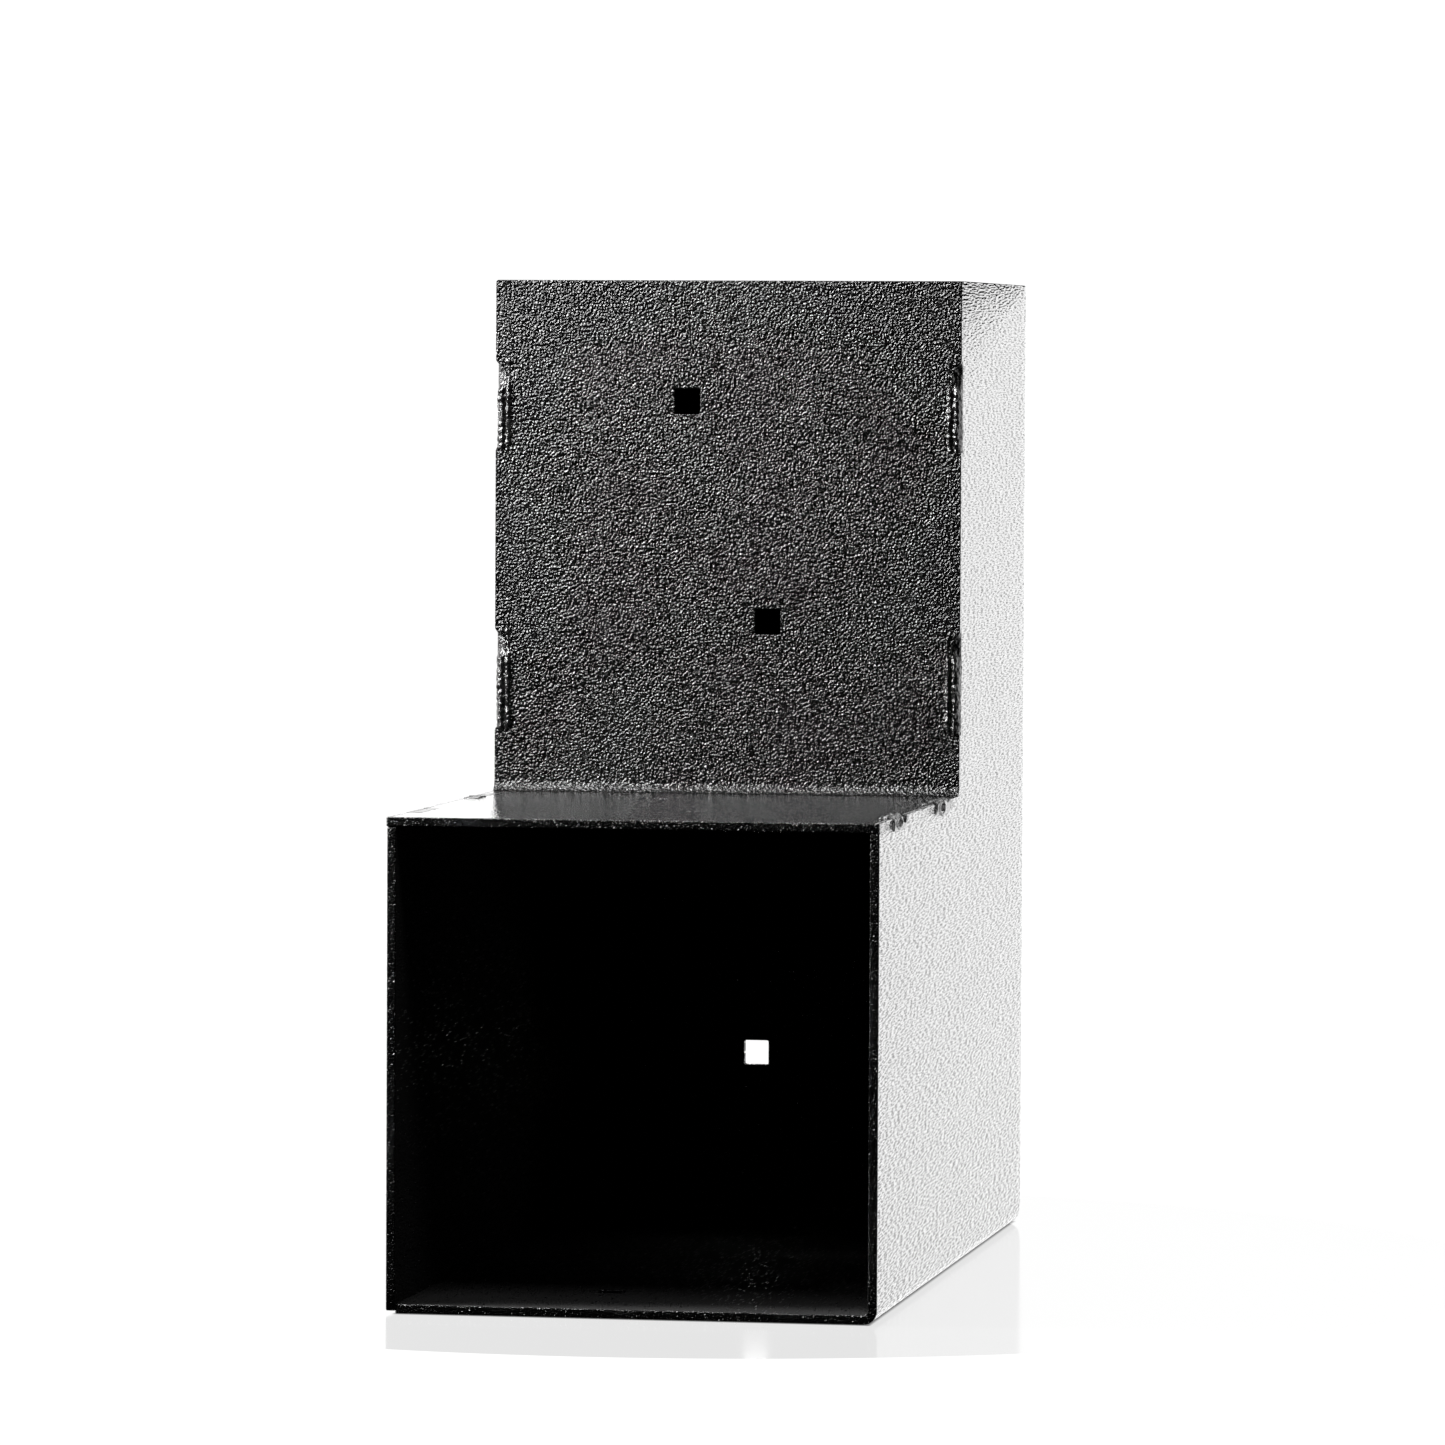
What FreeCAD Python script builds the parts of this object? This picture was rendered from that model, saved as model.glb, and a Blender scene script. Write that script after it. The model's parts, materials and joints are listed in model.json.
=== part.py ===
import FreeCAD, Part
import math
import os
import Sketcher

# Stepped steel box: two square legs of 3 mm sheet that meet as an L. The lower leg is open at
# the front, the column is open at the top, and one hollow runs through both.
# Three sheets make it: a right shell with two bent flanges, a flat left side and a bent step
# panel. Short weld beads join them. Square holes take carriage bolts.
# Origin: bottom centre of the box. +Z up, +Y away from the open front, +X right. Millimetres.

DIMENSIONS = [
    ("BoxWidth", 160.0, "outer face to outer face of the two sides"),
    ("Overall", 334.0, "height of the column and depth of the lower leg"),
    ("StepHeight", 160.0, "ground to the top of the shelf"),
    ("SheetThick", 3.0, "sheet, 11 gauge"),
    ("BendInner", 1.5, "inside radius of the two flange bends"),
    ("StepBendInner", 4.0, "inside radius of the step panel's bend"),
    ("Overhang", 0.4, "step panel past the left side"),
    ("EdgeRise", 0.8, "left side short of the ground and of the back face"),
    ("Relief", 5.5, "corner relief where the two flange bends meet"),
    ("RootGap", 0.4, "gap between the bottom and back flanges, filled by weld"),
    ("HoleSide", 8.7, "square hole for an 8 mm carriage bolt"),
    ("HoleCorner", 0.6, "corner radius of a square hole"),
    ("WallHoleLeft", -14.0, "X of the upper wall hole"),
    ("WallHoleRight", 14.0, "X of the lower wall hole"),
    ("WallHoleDrop", 41.0, "upper wall hole below the top"),
    ("WallHoleLift", 58.4, "lower wall hole above the shelf"),
    ("ShelfHoleLeft", -17.4, "X of the rear shelf hole"),
    ("ShelfHoleRight", 10.3, "X of the front shelf hole"),
    ("ShelfHoleRear", 132.5, "rear shelf hole behind the front edge"),
    ("ShelfHoleFront", 56.0, "front shelf hole behind the front edge"),
    ("FlangeHoleLeft", -16.0, "X of the near hole of each flange"),
    ("FlangeHoleRight", 13.4, "X of the far hole of each flange"),
    ("BottomHoleNear", 51.0, "near bottom hole behind the front edge"),
    ("BackHoleNear", 58.8, "near back hole above the ground"),
    ("FlangeHoleFar", 266.0, "far hole from the front edge or from the ground"),
    ("BeadRadius", 3.2, "radius of a corner bead"),
    ("BeadInset", 2.8, "axis of a right corner bead inside the right face"),
    ("LeftBeadInset", 3.4, "axis of a left corner bead inside the left face, so it stays flush"),
    ("BeadEndStart", 26.0, "first bead of a seam, from the free end of the leg"),
    ("BeadEndLength", 33.0, "length of the first bead"),
    ("BeadBendStart", 117.5, "second bead of a seam, from the free end of the leg"),
    ("BeadBendLength", 37.0, "length of the second bead"),
    ("SeamBeadRadius", 2.4, "radius of a left seam bead"),
    ("SeamBeadInset", 2.6, "axis of a left seam bead inside the outer face"),
    ("SeamBeadDepth", 1.6, "axis of a left seam bead inside the ground or back face"),
    ("SeamBeadFar", 262.0, "third left seam bead, from the free end of the leg"),
]


class Size:
    """A length: its number today and the sheet formula that drives it."""

    def __init__(self, number, formula):
        self.number = number
        self.formula = formula

    def __add__(self, other):
        other = as_size(other)
        return Size(self.number + other.number, f"({self.formula} + {other.formula})")

    def __sub__(self, other):
        other = as_size(other)
        return Size(self.number - other.number, f"({self.formula} - {other.formula})")

    def __truediv__(self, divisor):
        return Size(self.number / divisor, f"({self.formula} / {divisor})")

    def __neg__(self):
        return Size(-self.number, f"(-{self.formula})")


def as_size(value):
    if isinstance(value, Size):
        return value
    return Size(float(value), str(float(value)))


def make_sheet(doc):
    sheet = doc.addObject("Spreadsheet::Sheet", "Dimensions")
    for row, (alias, number, note) in enumerate(DIMENSIONS, start=1):
        sheet.set(f"A{row}", alias)
        sheet.set(f"B{row}", str(number))
        sheet.set(f"C{row}", note)
        sheet.setAlias(f"B{row}", alias)
    doc.recompute()
    return sheet


def read_sizes(sheet):
    return {alias: Size(float(sheet.get(alias)), f"Dimensions.{alias}")
            for alias, number, note in DIMENSIONS}


def bind(feature, property_name, size):
    feature.setExpression(property_name, as_size(size).formula)


def place(feature, x, y, z):
    """Puts a primitive's own origin at a point driven by the sheet."""
    for axis, size in (("x", x), ("y", y), ("z", z)):
        bind(feature, f"Placement.Base.{axis}", size)


# ---- sketches -----------------------------------------------------------------------------

def shifted(corner, neighbour, radius):
    """The point at one radius from a corner, along the straight run to its neighbour."""
    x, y = corner[:2]
    run_x = neighbour[0].number - x.number
    run_y = neighbour[1].number - y.number
    if abs(run_x) > abs(run_y):
        return (x + radius, y) if run_x > 0 else (x - radius, y)
    return (x, y + radius) if run_y > 0 else (x, y - radius)


def vector(point):
    return FreeCAD.Vector(point[0].number, point[1].number, 0)


def pin_point(sketch, curve, end, point):
    """Ties one end of a curve to sheet-driven distances from the sketch's origin."""
    for kind, size in (("DistanceX", point[0]), ("DistanceY", point[1])):
        index = sketch.addConstraint(
            Sketcher.Constraint(kind, -1, 1, curve, end, size.number))
        name = f"{kind}{index}"
        sketch.renameConstraint(index, name)
        bind(sketch, f"Constraints.{name}", size)


def round_corner(sketch, line_in, line_out, corner, entry, leave, radius):
    """An arc between the end of one line and the start of the next."""
    tip = vector(corner)
    start = vector(entry)
    finish = vector(leave)
    centre = start + finish - tip
    middle = centre + (tip - centre) / math.sqrt(2)
    arc = sketch.addGeometry(Part.Arc(start, middle, finish), False)
    forward = sketch.getPoint(arc, 1).distanceToPoint(start) < radius.number / 2
    first, last = (1, 2) if forward else (2, 1)
    sketch.addConstraint(Sketcher.Constraint("Coincident", arc, first, line_in, 2))
    sketch.addConstraint(Sketcher.Constraint("Coincident", arc, last, line_out, 1))
    index = sketch.addConstraint(Sketcher.Constraint("Radius", arc, radius.number))
    sketch.renameConstraint(index, f"Radius{index}")
    bind(sketch, f"Constraints.Radius{index}", radius)


def draw_outline(sketch, corners):
    """A closed outline of runs along the sketch's axes. A corner (x, y, r) is rounded to r."""
    count = len(corners)
    entries = []
    leaves = []
    for number, corner in enumerate(corners):
        rounded = len(corner) > 2
        before = corners[number - 1]
        after = corners[(number + 1) % count]
        entries.append(shifted(corner, before, corner[2]) if rounded else corner[:2])
        leaves.append(shifted(corner, after, corner[2]) if rounded else corner[:2])
    lines = []
    for number in range(count):
        start = vector(leaves[number])
        finish = vector(entries[(number + 1) % count])
        lines.append(sketch.addGeometry(Part.LineSegment(start, finish), False))
    for number, corner in enumerate(corners):
        line_in = lines[number - 1]
        line_out = lines[number]
        pin_point(sketch, line_out, 1, leaves[number])
        if len(corner) > 2:
            pin_point(sketch, line_in, 2, entries[number])
            round_corner(sketch, line_in, line_out, corner, entries[number],
                         leaves[number], corner[2])
        else:
            sketch.addConstraint(Sketcher.Constraint("Coincident", line_in, 2, line_out, 1))


def origin_plane(body, role):
    return next(plane for plane in body.Origin.OriginFeatures if plane.Role == role)


def make_sketch(body, name, role, offset, outlines):
    """A sketch on one of the body's own origin planes, moved along the plane's normal."""
    sketch = body.newObject("Sketcher::SketchObject", name)
    sketch.AttachmentSupport = [(origin_plane(body, role), "")]
    sketch.MapMode = "FlatFace"
    bind(sketch, "AttachmentOffset.Base.z", offset)
    for outline in outlines:
        draw_outline(sketch, outline)
    return sketch


def make_pad(body, name, sketch, length, reverse=False):
    pad = body.newObject("PartDesign::Pad", name)
    pad.Profile = sketch
    bind(pad, "Length", length)
    pad.Reversed = reverse
    body.Tip = pad
    return pad


def make_pocket(body, name, sketch, length, reverse=False):
    """Cuts a depth out of the body, and stops if nothing was cut."""
    body.Document.recompute()
    before = body.Shape.Volume
    pocket = body.newObject("PartDesign::Pocket", name)
    pocket.Profile = sketch
    bind(pocket, "Length", length)
    pocket.Reversed = reverse
    body.Tip = pocket
    body.Document.recompute()
    if body.Shape.Volume > before - 1:
        raise RuntimeError(f"{name} cuts nothing")
    return pocket


def rectangle(x_low, y_low, x_high, y_high):
    return [(x_low, y_low), (x_high, y_low), (x_high, y_high), (x_low, y_high)]


def square_hole(size, across, along):
    half = size["HoleSide"] / 2
    corners = rectangle(across - half, along - half, across + half, along + half)
    return [corner + (size["HoleCorner"],) for corner in corners]


# ---- the box's own planes -----------------------------------------------------------------

def derive(size):
    """Planes that several sheets share, worked out from the driving dimensions."""
    size["Right"] = size["BoxWidth"] / 2
    size["Left"] = -size["Right"]
    size["InnerRight"] = size["Right"] - size["SheetThick"]
    size["InnerLeft"] = size["Left"] + size["SheetThick"]
    size["Back"] = size["Overall"] / 2
    size["Front"] = -size["Back"]
    size["InnerBack"] = size["Back"] - size["SheetThick"]
    size["WallFront"] = size["Back"] - size["StepHeight"]
    size["WallBack"] = size["WallFront"] + size["SheetThick"]
    size["ShelfUnder"] = size["StepHeight"] - size["SheetThick"]
    size["BendOuter"] = size["BendInner"] + size["SheetThick"]
    size["StepBendOuter"] = size["StepBendInner"] + size["SheetThick"]
    size["Ground"] = size["Overall"] - size["Overall"]


# ---- sheets -------------------------------------------------------------------------------

def side_outline(size, low, rear):
    """L outline of a side in Y and Z. Its inside corner follows the step panel's bend."""
    return [
        (size["Front"], low),
        (rear, low),
        (rear, size["Overall"]),
        (size["WallBack"], size["Overall"]),
        (size["WallBack"], size["ShelfUnder"], size["StepBendOuter"]),
        (size["Front"], size["ShelfUnder"]),
    ]


def flange_profile(size, outer, inner, land):
    """J section of a flange: from the left side to the right bend, then along the right side."""
    return [
        (size["InnerLeft"], outer),
        (size["Right"], outer, size["BendOuter"]),
        (size["Right"], land),
        (size["InnerRight"], land),
        (size["InnerRight"], inner, size["BendInner"]),
        (size["InnerLeft"], inner),
    ]


def make_right_shell(doc, size):
    """Right side with its bottom flange and its back flange, bent from one sheet."""
    body = doc.addObject("PartDesign::Body", "RightShellBlank")
    low = size["Relief"]
    rear = size["Back"] - size["Relief"]
    side = make_sketch(body, "ShellSideSketch", "YZ_Plane", size["InnerRight"],
                       [side_outline(size, low, rear)])
    make_pad(body, "ShellSide", side, size["SheetThick"])
    bottom = make_sketch(body, "BottomFlangeSketch", "XZ_Plane", -size["Front"],
                         [flange_profile(size, size["Ground"], size["SheetThick"], low)])
    make_pad(body, "BottomFlange", bottom,
             size["Overall"] - size["SheetThick"] - size["RootGap"], reverse=True)
    back = make_sketch(body, "BackFlangeSketch", "XY_Plane",
                       size["SheetThick"] + size["RootGap"],
                       [flange_profile(size, size["Back"], size["InnerBack"], rear)])
    make_pad(body, "BackFlange", back,
             size["Overall"] - size["SheetThick"] - size["RootGap"])
    relief = make_sketch(body, "CornerReliefSketch", "XY_Plane", size["Ground"],
                         [rectangle(size["Right"] - size["Relief"], rear,
                                    size["Right"] + 1, size["Back"] + 1)])
    make_pocket(body, "CornerRelief", relief, size["Relief"], reverse=True)
    near = size["Front"] + size["BottomHoleNear"]
    far = size["Front"] + size["FlangeHoleFar"]
    bottom_holes = make_sketch(body, "BottomHolesSketch", "XY_Plane", size["Ground"],
                               [square_hole(size, size["FlangeHoleLeft"], near),
                                square_hole(size, size["FlangeHoleRight"], far)])
    make_pocket(body, "BottomHoles", bottom_holes, size["SheetThick"], reverse=True)
    back_holes = make_sketch(
        body, "BackHolesSketch", "XZ_Plane", -size["InnerBack"],
        [square_hole(size, size["FlangeHoleLeft"], size["BackHoleNear"]),
         square_hole(size, size["FlangeHoleRight"], size["FlangeHoleFar"])])
    make_pocket(body, "BackHoles", back_holes, size["SheetThick"])
    return body


def make_left_side(doc, size):
    """Flat L plate. The two flanges butt against its inner face."""
    body = doc.addObject("PartDesign::Body", "LeftSideBlank")
    rear = size["Back"] - size["EdgeRise"]
    side = make_sketch(body, "LeftSideSketch", "YZ_Plane", size["Left"],
                       [side_outline(size, size["EdgeRise"], rear)])
    make_pad(body, "LeftSide", side, size["SheetThick"])
    return body


def make_step_panel(doc, size):
    """Shelf and column wall, one sheet with one bend, laid over the edges of both sides."""
    body = doc.addObject("PartDesign::Body", "StepPanelBlank")
    outline = [
        (size["Front"], size["ShelfUnder"]),
        (size["WallBack"], size["ShelfUnder"], size["StepBendOuter"]),
        (size["WallBack"], size["Overall"]),
        (size["WallFront"], size["Overall"]),
        (size["WallFront"], size["StepHeight"], size["StepBendInner"]),
        (size["Front"], size["StepHeight"]),
    ]
    left_edge = size["Left"] - size["Overhang"]
    section = make_sketch(body, "StepSection", "YZ_Plane", left_edge, [outline])
    make_pad(body, "StepSheet", section, size["Right"] - left_edge)
    rear = size["Front"] + size["ShelfHoleRear"]
    front = size["Front"] + size["ShelfHoleFront"]
    shelf_holes = make_sketch(body, "ShelfHolesSketch", "XY_Plane", size["StepHeight"],
                              [square_hole(size, size["ShelfHoleLeft"], rear),
                               square_hole(size, size["ShelfHoleRight"], front)])
    make_pocket(body, "ShelfHoles", shelf_holes, size["SheetThick"])
    upper = size["Overall"] - size["WallHoleDrop"]
    lower = size["StepHeight"] + size["WallHoleLift"]
    wall_holes = make_sketch(body, "WallHolesSketch", "XZ_Plane", -size["WallFront"],
                             [square_hole(size, size["WallHoleLeft"], upper),
                              square_hole(size, size["WallHoleRight"], lower)])
    make_pocket(body, "WallHoles", wall_holes, size["SheetThick"])
    return body


# ---- welds --------------------------------------------------------------------------------

def make_box(doc, name, low, high):
    """A block between two corners, each given as three sizes."""
    block = doc.addObject("Part::Box", name)
    for property_name, start, end in zip(("Length", "Width", "Height"), low, high):
        bind(block, property_name, as_size(end) - start)
    place(block, *low)
    return block


def fuse(doc, name, shapes):
    joined = doc.addObject("Part::MultiFuse", name)
    joined.Shapes = shapes
    return joined


def make_bead(doc, name, upright, centre, length, radius):
    """A round-ended bead from a point, along +Z when upright and else along +Y."""
    x, y, z = centre
    core = doc.addObject("Part::Cylinder", name + "Core")
    bind(core, "Radius", radius)
    run = length - radius - radius
    bind(core, "Height", run)
    if upright:
        first = (x, y, z + radius)
        last = (x, y, z + length - radius)
    else:
        core.Placement = FreeCAD.Placement(
            FreeCAD.Vector(), FreeCAD.Rotation(FreeCAD.Vector(1, 0, 0), -90))
        first = (x, y + radius, z)
        last = (x, y + length - radius, z)
    place(core, *first)
    caps = []
    for cap_name, point in (("StartCap", first), ("EndCap", last)):
        cap = doc.addObject("Part::Sphere", name + cap_name)
        bind(cap, "Radius", radius)
        place(cap, *point)
        caps.append(cap)
    return fuse(doc, name + "Bead", [core] + caps), first, last


def corner_beads(doc, size):
    """Beads on the four step panel seams, and the square edges that each of them melted."""
    beads = {}
    melted = []
    stitches = (("end", size["BeadEndStart"], size["BeadEndLength"]),
                ("bend", size["BeadBendStart"], size["BeadBendLength"]))
    sides = (("right", size["Right"] - size["BeadInset"], size["Right"] + 1),
             ("left", size["Left"] + size["LeftBeadInset"], size["Left"] - 1))
    labels = {"wall": {"end": "upper", "bend": "lower"},
              "shelf": {"end": "front", "bend": "rear"}}
    for side, axis_x, outside in sides:
        low_x, high_x = (axis_x, outside) if side == "right" else (outside, axis_x)
        for stitch, start, length in stitches:
            key = f"wall_weld_{side}_{labels['wall'][stitch]}"
            centre = (axis_x, size["WallBack"], size["Overall"] - start - length)
            bead, first, last = make_bead(doc, key, True, centre, length, size["BeadRadius"])
            beads[key] = bead
            melted.append(make_box(doc, key + "Edge", (low_x, size["WallFront"] - 1, first[2]),
                                   (high_x, size["WallBack"], last[2])))
            key = f"shelf_weld_{side}_{labels['shelf'][stitch]}"
            centre = (axis_x, size["Front"] + start, size["ShelfUnder"])
            bead, first, last = make_bead(doc, key, False, centre, length, size["BeadRadius"])
            beads[key] = bead
            melted.append(make_box(doc, key + "Edge", (low_x, first[1], size["ShelfUnder"]),
                                   (high_x, last[1], size["StepHeight"] + 1)))
    return beads, melted


def seam_beads(doc, size):
    """Beads on the outside of the left side's two flange seams, in the same places."""
    axis_x = size["Left"] + size["SeamBeadInset"]
    radius = size["SeamBeadRadius"]
    stitches = ((size["BeadEndStart"], size["BeadEndLength"]),
                (size["BeadBendStart"], size["BeadBendLength"]),
                (size["SeamBeadFar"], size["BeadEndLength"]))
    bottom = []
    back = []
    for number, (start, length) in enumerate(stitches, start=1):
        centre = (axis_x, size["Front"] + start, size["SeamBeadDepth"])
        bottom.append(make_bead(doc, f"bottom_seam{number}", False, centre, length, radius)[0])
        centre = (axis_x, size["Back"] - size["SeamBeadDepth"],
                  size["Overall"] - start - length)
        back.append(make_bead(doc, f"back_seam{number}", True, centre, length, radius)[0])
    return bottom, back


def make_keep_out(doc, size):
    """Where weld metal never stands: the hollow, under the ground face, past the back face."""
    left = size["Left"] - 5
    right = size["Right"] + 5
    lower = make_box(doc, "LowerHollow",
                     (size["InnerLeft"], size["Front"], size["SheetThick"]),
                     (size["InnerRight"], size["InnerBack"], size["ShelfUnder"]))
    column = make_box(doc, "ColumnHollow",
                      (size["InnerLeft"], size["WallBack"], size["SheetThick"]),
                      (size["InnerRight"], size["InnerBack"], size["Overall"]))
    ground = make_box(doc, "BelowGround", (left, size["Front"], size["Ground"] - 5),
                      (right, size["Back"] + 5, size["Ground"]))
    behind = make_box(doc, "BehindBack", (left, size["Back"], size["Ground"]),
                      (right, size["Back"] + 5, size["Overall"]))
    return fuse(doc, "KeepOut", [lower, column, ground, behind])


def cut(doc, name, label, base, tool):
    result = doc.addObject("Part::Cut", name)
    result.Base = base
    result.Tool = tool
    result.Label = label
    return result


def make_rear_corner_weld(doc, size):
    """Quarter-round bead that fills the open corner between the bottom and back flanges."""
    bead = doc.addObject("Part::Cylinder", "RearCornerWeld")
    bead.Label = "rear_corner_weld"
    radius = size["SheetThick"] + size["RootGap"]
    bind(bead, "Radius", radius)
    bind(bead, "Height", size["Right"] - size["Relief"] - size["InnerLeft"])
    bead.Angle = 90
    to_x = FreeCAD.Matrix(0, 0, 1, 0, 0, 1, 0, 0, -1, 0, 0, 0, 0, 0, 0, 1)
    bead.Placement = FreeCAD.Placement(to_x)
    place(bead, size["InnerLeft"], size["Back"] - radius, radius)
    return bead


def make_welds(doc, size, keep_out):
    """Every weld as its own sub-part, and the solid that the beads took out of the sheets."""
    beads, melted = corner_beads(doc, size)
    bottom, back = seam_beads(doc, size)
    groups = dict(beads)
    groups["bottom_seam_welds"] = fuse(doc, "BottomSeamBeads", bottom)
    groups["back_seam_welds"] = fuse(doc, "BackSeamBeads", back)
    melt = fuse(doc, "MeltedMetal", list(groups.values()) + melted)
    welds = [cut(doc, label + "_trimmed", label, bead, keep_out)
             for label, bead in groups.items()]
    welds.append(make_rear_corner_weld(doc, size))
    return welds, melt


# ---- the model ----------------------------------------------------------------------------

def check_document(doc, parts):
    """Stops on any failed object and on any sub-part without a valid solid."""
    for item in doc.Objects:
        if "Invalid" in item.State or "Error" in item.State:
            raise RuntimeError(f"{item.Name} failed: {item.State}")
    for part in parts:
        shape = part.Shape
        if shape.isNull() or not shape.isValid() or not shape.Solids:
            raise RuntimeError(f"{part.Label} has no valid solid")


def build():
    doc = FreeCAD.newDocument("SteppedBox")
    size = read_sizes(make_sheet(doc))
    derive(size)
    keep_out = make_keep_out(doc, size)
    welds, melt = make_welds(doc, size, keep_out)
    parts = [
        cut(doc, "RightShell", "right_side_shell", make_right_shell(doc, size), melt),
        cut(doc, "LeftPlate", "left_side_panel", make_left_side(doc, size), melt),
        cut(doc, "StepSheetWelded", "step_panel", make_step_panel(doc, size), melt),
    ] + welds
    doc.recompute()
    check_document(doc, parts)
    return doc, parts


def export(parts):
    os.makedirs("parts", exist_ok=True)
    for part in parts:
        part.Shape.exportStep(os.path.join("parts", part.Label + ".step"))
        solids = len(part.Shape.Solids)
        print(f"{part.Label}: {solids} solid(s), {part.Shape.Volume / 1000:.2f} cm3")


document, sub_parts = build()
export(sub_parts)
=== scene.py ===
import bmesh
import bpy
import json
import math
from mathutils import Matrix, Vector, noise
from mathutils.geometry import delaunay_2d_cdt


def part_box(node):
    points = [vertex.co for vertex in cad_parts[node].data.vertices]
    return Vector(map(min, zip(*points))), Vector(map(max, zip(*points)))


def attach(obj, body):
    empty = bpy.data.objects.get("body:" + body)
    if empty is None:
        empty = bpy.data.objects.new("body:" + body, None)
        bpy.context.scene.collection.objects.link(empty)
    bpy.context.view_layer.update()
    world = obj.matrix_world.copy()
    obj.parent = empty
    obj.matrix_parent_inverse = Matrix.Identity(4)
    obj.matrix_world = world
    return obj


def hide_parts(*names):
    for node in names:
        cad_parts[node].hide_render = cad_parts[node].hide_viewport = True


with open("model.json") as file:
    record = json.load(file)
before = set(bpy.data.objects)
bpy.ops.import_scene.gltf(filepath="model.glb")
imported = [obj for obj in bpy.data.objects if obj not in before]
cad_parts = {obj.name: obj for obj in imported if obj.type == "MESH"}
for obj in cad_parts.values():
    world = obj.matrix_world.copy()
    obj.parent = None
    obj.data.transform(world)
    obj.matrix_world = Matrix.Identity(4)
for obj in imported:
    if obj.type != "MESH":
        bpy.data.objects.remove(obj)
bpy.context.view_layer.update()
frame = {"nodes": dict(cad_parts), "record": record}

# Stepped steel box in black leather-grain powder coat. The three sheets are built from flat
# patterns with rounded, coated edges and folded into place. The weld beads are lofted along the
# seams that the CAD gives. Lengths are millimetres in the CAD's own frame inside the builders of
# pieces, and metres in materials, lights and camera.

MM = 0.001
SHEET = 3.0            # sheet thickness
BEND_OUTER = 4.5       # outside radius of a flange bend
BEND_RUN = math.pi / 2 * (BEND_OUTER - SHEET / 2)   # flat length of a bend
STEP_INNER = 4.0       # inside radius of the step panel's bend
STEP_OUTER = STEP_INNER + SHEET
STEP_RUN = math.pi / 2 * (STEP_INNER + SHEET / 2)
EDGE_ROUND = 0.34      # coated edge of a cut sheet
EDGE_STEPS = 4
SEAM_CRISP = 0.25      # share of that rounding left where a seam is bridged by the coat
SUPPORT = 0.22         # flat band beside a rounded edge, which keeps the big faces flat
CORNER = 0.9           # corner of a sheet seen flat
HOLE_CORNER = 0.6
HOLE_SIDE = 8.7
RELIEF = 5.5           # corner relief where the two flange bends meet, from the box's corner
SEAM_GAP = SHEET + 0.4   # from one flange's rear or lower end to the other's outer face
MERGE = 0.7            # a grid vertex keeps this far from an outline
GRID = 9.0             # spacing of a sheet's inner vertices
BEND_STEPS = 12
MELT_DEPTH = 3.0       # how far a corner bead has eaten the step panel's edge
MELT_DEPTH_LEFT = MELT_DEPTH + 0.4
MELT_FLANK = 4.6       # length over which the bite deepens at each end of a bead
MELT_INSET = 0.9       # the bite starts this far inside the bead's end


def millimetres(node):
    """Low and high corner of a CAD node's box."""
    low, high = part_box(node)
    return Vector(low) / MM, Vector(high) / MM


SHELL_LOW, SHELL_HIGH = millimetres("right_side_shell")
LEFT_LOW, LEFT_HIGH = millimetres("left_side_panel")
STEP_LOW, STEP_HIGH = millimetres("step_panel")
RIGHT, FRONT, BACK, TOP = SHELL_HIGH.x, SHELL_LOW.y, SHELL_HIGH.y, SHELL_HIGH.z
LEFT = LEFT_LOW.x
INNER_LEFT = SHELL_LOW.x
SHELF_UNDER = STEP_LOW.z
SHELF_TOP = SHELF_UNDER + SHEET
WALL_BACK = STEP_HIGH.y
WALL_FRONT = WALL_BACK - SHEET
MOUNTS = {mount["name"]: [v / MM for v in mount["pos_m"]] for mount in frame["record"]["mounts"]}


# ---- flat patterns --------------------------------------------------------------------------

def rounded(corners, steps=5):
    """Points of a closed right-angled outline. A corner is (a, b) or (a, b, radius)."""
    points = []
    count = len(corners)
    for index, corner in enumerate(corners):
        tip = Vector(corner[:2])
        if len(corner) < 3:
            points.append(tip)
            continue
        run_in = (tip - Vector(corners[index - 1][:2])).normalized()
        run_out = (Vector(corners[(index + 1) % count][:2]) - tip).normalized()
        radius = corner[2]
        centre = tip - run_in * radius + run_out * radius
        for step in range(steps + 1):
            angle = math.pi / 2 * step / steps
            points.append(centre - run_out * (radius * math.cos(angle))
                          + run_in * (radius * math.sin(angle)))
    return points


def split_at(points, cuts_a, cuts_b):
    """Adds a vertex wherever a straight edge of the outline crosses a cut line."""
    result = []
    for start, end in zip(points, points[1:] + points[:1]):
        result.append(start)
        run = end - start
        if run.length < 1.0:
            continue
        spots = []
        for axis, cuts in ((0, cuts_a), (1, cuts_b)):
            if abs(run[axis]) > 1e-6:
                spots += [(cut - start[axis]) / run[axis] for cut in cuts]
        margin = 0.15 / run.length
        last = 0.0
        for spot in sorted(spots):
            if last + margin < spot < 1 - margin:
                result.append(start + run * spot)
                last = spot
    return result


def inset(points, distance):
    """The outline moved inwards (to its left) by a distance, with mitred corners."""
    result = []
    count = len(points)
    for index, point in enumerate(points):
        before = (point - points[index - 1]).normalized()
        after = (points[(index + 1) % count] - point).normalized()
        normal_in = Vector((-before.y, before.x))
        normal_out = Vector((-after.y, after.x))
        mitre = (normal_in + normal_out).normalized()
        result.append(point + mitre * (distance / max(0.5, mitre.dot(normal_out))))
    return result


def inside(point, outline):
    """Whether a closed outline holds the point, by the crossings to its right."""
    hit = False
    for start, end in zip(outline, outline[1:] + outline[:1]):
        if (start.y > point.y) != (end.y > point.y):
            across = start.x + (point.y - start.y) / (end.y - start.y) * (end.x - start.x)
            hit ^= point.x < across
    return hit


def spread(low, high):
    """Evenly spaced inner values between two ends."""
    count = max(1, round((high - low) / GRID))
    return [low + (high - low) * i / count for i in range(1, count)]


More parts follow.
